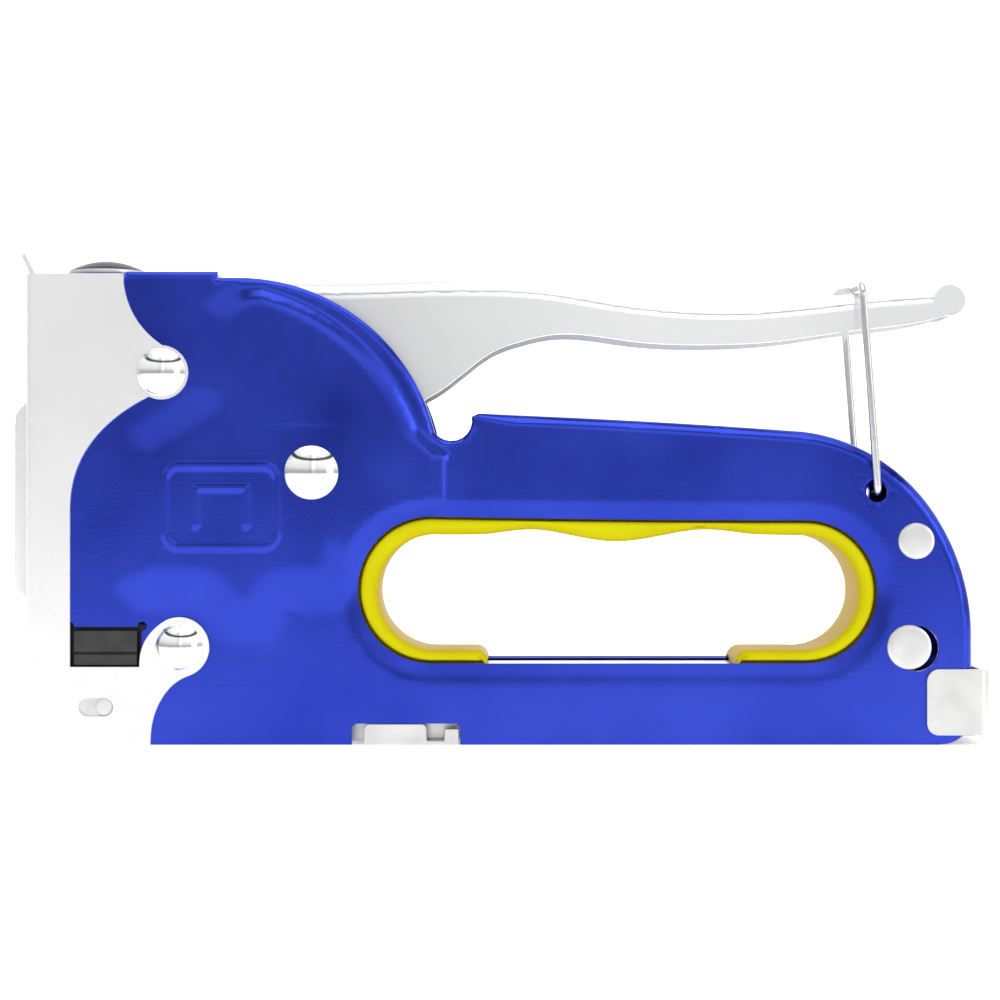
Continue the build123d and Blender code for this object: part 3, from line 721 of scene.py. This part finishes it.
button = turned_part("locating_button", [
    (0.0, -11.75), (1.35, -11.72), (1.6, -11.5), (1.6, -11.1), (4.7, -11.06), (4.7, 11.06),
    (1.6, 11.1), (1.6, 11.5), (1.35, 11.72), (0.0, 11.75)], BUTTON_AT)
button.data.materials.append(rivet_zinc)
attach(button, "frame")

# ---------------------------------------------------------------------------
# Finger insert: a ring of yellow moulded plastic in the finger hole, open at
# the bottom, with two waves for the fingers along its top. Its edges are well
# rounded, and a narrow gap shows between it and the shells.
# ---------------------------------------------------------------------------
LINER_FACE = -9.7
LINER_FLANGE = -7.0
LINER_INNER_ROUND = 1.9
LINER_OUTER_ROUND = 0.45
LINER_RINGS = (0.05, 0.15, 0.3, 0.45)
# Depths, as |y| in metres, over which the painted shade inside the finger hole sets in.
HOLE_SHADE_FROM, HOLE_SHADE_FULL = 0.0096, 0.0078


def grown(points, gap):
    """Points moved outwards by a gap from a run that goes clockwise round its middle."""
    spots = np.array(points)
    along = np.gradient(spots, axis=0)
    along /= np.hypot(*along.T)[:, None]
    return [(x - gap * dz, z + gap * dx) for (x, z), (dx, dz) in zip(spots, along)]


def flowing(points, steps=9):
    """Smooth run through (x, z) points."""
    spots = [np.array(p) for p in [points[0]] + list(points) + [points[-1]]]
    run = []
    for a, b, c, d in zip(spots, spots[1:], spots[2:], spots[3:]):
        for i in range(steps):
            t = i / steps
            spot = 0.5 * (2 * b + (c - a) * t + (2 * a - 5 * b + 4 * c - d) * t**2
                          + (3 * b - a - 3 * c + d) * t**3)
            run.append(tuple(spot))
    return run + [tuple(points[-1])]


liner_outside = trace((-1.95, 15.3), (-12.7, 15.3), ((-25.35, 27.9), (-11.0, 41.3)),
                      ((18.5, 40.85), (56.1, 40.65)), ((68.95, 27.9), (56.1, 15.3)), (43.6, 15.3))
finger_waves = flowing([(55.0, 38.3), (47.0, 38.5), (36.8, 39.3), (21.7, 37.15), (7.2, 39.3),
                        (-2.5, 38.5), (-10.5, 38.4)])
liner_inside = (trace((43.6, 15.3), ((44.3, 16.6), (46.2, 17.2)), (54.6, 17.2),
                      ((66.3, 27.6), (55.0, 38.3)))[1:] + finger_waves[1:]
                + trace((-10.5, 38.4), ((-22.2, 27.7), (-11.5, 17.2)), (-4.4, 17.2),
                        ((-2.6, 16.6), (-1.95, 15.3)))[1:-1])
liner = flat_sheet("finger_insert", liner_outside + liner_inside)
edge_rings(liner, LINER_RINGS)
bpy.ops.object.mode_set(mode="EDIT")
slice_faces(-26.0, 70.0, 2.0, 0)
slice_faces(14.0, 42.0, 2.0, 2)
bpy.ops.object.mode_set(mode="OBJECT")
spots = np.array([v.co for v in liner.data.vertices])[:, [0, 2]]
inner_gap = np.minimum(edge_gap(spots, liner_inside, False), LINER_INNER_ROUND)
outer_gap = np.minimum(edge_gap(spots, liner_outside, False), LINER_OUTER_ROUND)
sink = (LINER_INNER_ROUND - np.sqrt(LINER_INNER_ROUND**2 - (LINER_INNER_ROUND - inner_gap)**2)
        + LINER_OUTER_ROUND - np.sqrt(LINER_OUTER_ROUND**2 - (LINER_OUTER_ROUND - outer_gap)**2))
for vertex, drop in zip(liner.data.vertices, sink):
    vertex.co.y = LINER_FACE + drop
turn_in(liner, lambda x, y, z: y < 0, lambda x: 0.0)
use(liner)
halves = liner.modifiers.new("other_side", "MIRROR")
halves.use_axis = (False, True, False)
halves.merge_threshold = 0.001
bpy.ops.object.modifier_apply(modifier="other_side")
bpy.ops.object.mode_set(mode="EDIT")
bpy.ops.mesh.select_all(action="SELECT")
bpy.ops.mesh.normals_make_consistent(inside=False)
bpy.ops.object.mode_set(mode="OBJECT")
settle(liner, MM)
flange = flat_sheet("insert_flange", grown(liner_outside, 2.2) + grown(liner_inside, -0.6))
flange.location = (0, LINER_FLANGE * MM, 0)
flange_wall = flange.modifiers.new("wall", "SOLIDIFY")
flange_wall.thickness = 2 * LINER_FLANGE
flange_wall.offset = 1
bpy.ops.object.modifier_apply(modifier="wall")
settle(flange, MM)
liner.select_set(True)
bpy.context.view_layer.objects.active = liner
bpy.ops.object.join()
bpy.ops.object.shade_smooth_by_angle(angle=math.radians(40))
yellow = finish("yellow_plastic", (0.72, 0.69, 0.001), (0.66, 0.61, 0.001), 0.0, 0.40, 0.10, 0.05,
                scales=(90, 1100, 300), rub=0.05)
yellow_tree = yellow.node_tree
yellow_tree.nodes["Principled BSDF"].inputs["Specular IOR Level"].default_value = 0.08
# Painted shade: the yellow turns to a darker orange deeper in the finger hole, towards the middle
# of the body, standing in for the shade inside the hole.
depth = yellow_tree.nodes.new("ShaderNodeTexCoord")
depth_split = yellow_tree.nodes.new("ShaderNodeSeparateXYZ")
depth_size = number_node(yellow_tree, "ShaderNodeMath", mode="ABSOLUTE")
hole_shade_mask = yellow_tree.nodes.new("ShaderNodeMapRange")
hole_shade_mask.inputs["From Min"].default_value = HOLE_SHADE_FROM
hole_shade_mask.inputs["From Max"].default_value = HOLE_SHADE_FULL
inner_painted_shade = yellow_tree.nodes.new("ShaderNodeMix")
inner_painted_shade.data_type = "RGBA"
inner_painted_shade.inputs[7].default_value = (0.60, 0.42, 0.0, 1)
plain = yellow_tree.nodes["Principled BSDF"].inputs["Base Color"].links[0].from_socket
yellow_tree.links.new(depth.outputs["Object"], depth_split.inputs[0])
yellow_tree.links.new(depth_split.outputs["Y"], depth_size.inputs[0])
yellow_tree.links.new(depth_size.outputs[0], hole_shade_mask.inputs["Value"])
yellow_tree.links.new(hole_shade_mask.outputs["Result"], inner_painted_shade.inputs["Factor"])
yellow_tree.links.new(plain, inner_painted_shade.inputs[6])
yellow_tree.links.new(inner_painted_shade.outputs[2],
                      yellow_tree.nodes["Principled BSDF"].inputs["Base Color"])
fit(liner, yellow, "frame", "grip_liner")

# ---------------------------------------------------------------------------
# Striker bumper: a block of black rubber that shows in a window of each shell.
# A groove divides the body of the block from a round-edged lip below it, and a
# flange behind each shell keeps the block in.
# ---------------------------------------------------------------------------
FLANGE_SPREAD = (0.0014, 0.0012)
FLANGE_PLACE = 0.0080
FLANGE_THICK = 0.0016
BUMPER_LOW, BUMPER_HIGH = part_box("striker_bumper")
GROOVE = (0.0166, 0.0170)
GROOVE_DEPTH = 0.0005

bpy.ops.mesh.primitive_cube_add(size=1)
bumper = bpy.context.object
bumper.name = "rubber_bumper"
bumper.location = [(a + b) / 2 for a, b in zip(BUMPER_LOW, BUMPER_HIGH)]
bumper.scale = [b - a for a, b in zip(BUMPER_LOW, BUMPER_HIGH)]
bpy.ops.object.transform_apply(location=True, rotation=True, scale=True)
bpy.ops.object.mode_set(mode="EDIT")
for height in GROOVE:
    bpy.ops.mesh.select_all(action="SELECT")
    bpy.ops.mesh.bisect(plane_co=(0, 0, height), plane_no=(0, 0, 1))
bpy.ops.object.mode_set(mode="OBJECT")
for face in bumper.data.polygons:
    face.select = abs(face.normal.y) > 0.9 and GROOVE[0] < face.center.z < GROOVE[1]
bpy.ops.object.mode_set(mode="EDIT")
bpy.ops.mesh.select_mode(type="FACE")
bpy.ops.mesh.extrude_faces_move(
    TRANSFORM_OT_shrink_fatten={"value": -GROOVE_DEPTH, "use_even_offset": False})
bpy.ops.object.mode_set(mode="OBJECT")
soften(bumper, 0.00035, 3, 60)
for side in (-1, 1):
    bpy.ops.mesh.primitive_cube_add(size=1)
    flange = bpy.context.object
    flange.location = ((BUMPER_LOW[0] + BUMPER_HIGH[0]) / 2, side * FLANGE_PLACE,
                       (BUMPER_LOW[2] + BUMPER_HIGH[2]) / 2)
    flange.scale = (BUMPER_HIGH[0] - BUMPER_LOW[0] + 2 * FLANGE_SPREAD[0], FLANGE_THICK,
                    BUMPER_HIGH[2] - BUMPER_LOW[2] + 2 * FLANGE_SPREAD[1])
    bpy.ops.object.transform_apply(location=True, rotation=True, scale=True)
    soften(flange, 0.0003, 2, 60)
    bumper.select_set(True)
    bpy.context.view_layer.objects.active = bumper
    bpy.ops.object.join()
rubber = finish("black_rubber", (0.022, 0.022, 0.022), (0.040, 0.040, 0.040), 0.0, 0.42, 0.16, 0.35,
                scales=(300, 3500, 600), rub=0.1)
fit(bumper, rubber, "frame", "striker_bumper")

# ---------------------------------------------------------------------------
# Rear cap and bottom strap: folded from zinc-plated sheet. The cap closes the
# back of the magazine and is pulled by its lip; the strap's tabs are turned up
# in the notches of the shells to hold the magazine channel.
# ---------------------------------------------------------------------------
zinc = finish("zinc_plate", (0.78, 0.775, 0.76), (0.68, 0.68, 0.67), 0.82, 0.26, 0.12, 0.10,
              scales=(160, 1800, 520), rub=0.14)
cap = from_cad("rear_clip", "magazine_cap")
soften(cap, 0.0003, 3)
fit(cap, zinc, "magazine", "rear_clip")
strap = from_cad("bottom_strap", "channel_strap")
soften(strap, 0.0002, 2)
fit(strap, zinc, "frame", "bottom_strap")

# ---------------------------------------------------------------------------
# Bail: 1.4 mm plated spring wire, sprung into a hole in each shell. It swings
# over the lever's end and holds the lever down on the body when not in use.
# ---------------------------------------------------------------------------
wire = finish("plated_wire", (0.74, 0.74, 0.75), (0.64, 0.64, 0.65), 1.0, 0.16, 0.10, 0.06,
              scales=(300, 2600, 900), rub=0.14)
bail = from_cad("bail", "lever_bail")
bpy.ops.object.shade_smooth_by_angle(angle=math.radians(50))
fit(bail, wire, "bail", "bail")

# ---------------------------------------------------------------------------
# Tension screw and its washer: a slotted, blackened screw through the top of
# the nose, which sets how hard the drive spring is pressed.
# ---------------------------------------------------------------------------
black_steel = finish("blackened_steel", (0.05, 0.05, 0.052), (0.10, 0.10, 0.10), 0.9, 0.30, 0.12,
                     0.15, scales=(260, 2600, 800), rub=0.15)
screw = from_cad("tension_screw", "slotted_screw")
soften(screw, 0.00025, 2)
fit(screw, black_steel, "screw", "tension_screw")
washer = from_cad("screw_washer", "plain_washer")
soften(washer, 0.00015, 2)
fit(washer, zinc, "frame", "screw_washer")

music_wire = finish("music_wire", (0.34, 0.34, 0.35), (0.24, 0.24, 0.25), 1.0, 0.22, 0.10, 0.08,
                    scales=(300, 2800, 900), rub=0.12)
for node, name, body in (("drive_spring", "drive_coil", "frame"),
                         ("pusher_spring", "pusher_coil", "magazine"),
                         ("lever_return_spring", "return_coil", "frame")):
    coil = from_cad(node, name)
    bpy.ops.object.shade_smooth_by_angle(angle=math.radians(50))
    fit(coil, music_wire, body, node)
    if name == "drive_coil":
        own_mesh(coil)
    if name == "pusher_coil":
        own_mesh(coil)

# ---------------------------------------------------------------------------
# Magazine and mechanism: the plated channel, rail and rod, the pusher, and the
# plain steel arm, striker, seat, bridge, bush and spacers between the shells.
# They keep the shape of the frame and get their own finishes.
# ---------------------------------------------------------------------------
oiled_steel = finish("oiled_steel", (0.44, 0.44, 0.43), (0.33, 0.33, 0.32), 1.0, 0.28, 0.14, 0.12,
                     scales=(140, 2000, 420), rub=0.16)
rolled_zinc = finish("rolled_zinc", (0.72, 0.72, 0.71), (0.62, 0.62, 0.61), 0.9, 0.28, 0.10, 0.08,
                     scales=(120, 1600, 380), rub=0.16)
for node, material in (("magazine_channel", rolled_zinc), ("magazine_rail", rolled_zinc),
                       ("guide_rod", oiled_steel), ("pusher", oiled_steel),
                       ("lift_arm", oiled_steel), ("arm_pin", oiled_steel),
                       ("pivot_bush", oiled_steel), ("spring_seat", oiled_steel),
                       ("spring_bridge", oiled_steel), ("striker_carrier", oiled_steel),
                       ("striker_blade", oiled_steel), ("upper_nose_spacer", oiled_steel),
                       ("lower_nose_spacer", oiled_steel), ("rear_upper_spacer", oiled_steel),
                       ("rear_lower_spacer", oiled_steel)):
    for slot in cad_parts[node].material_slots:
        slot.material = material

bpy.ops.object.select_all(action="DESELECT")
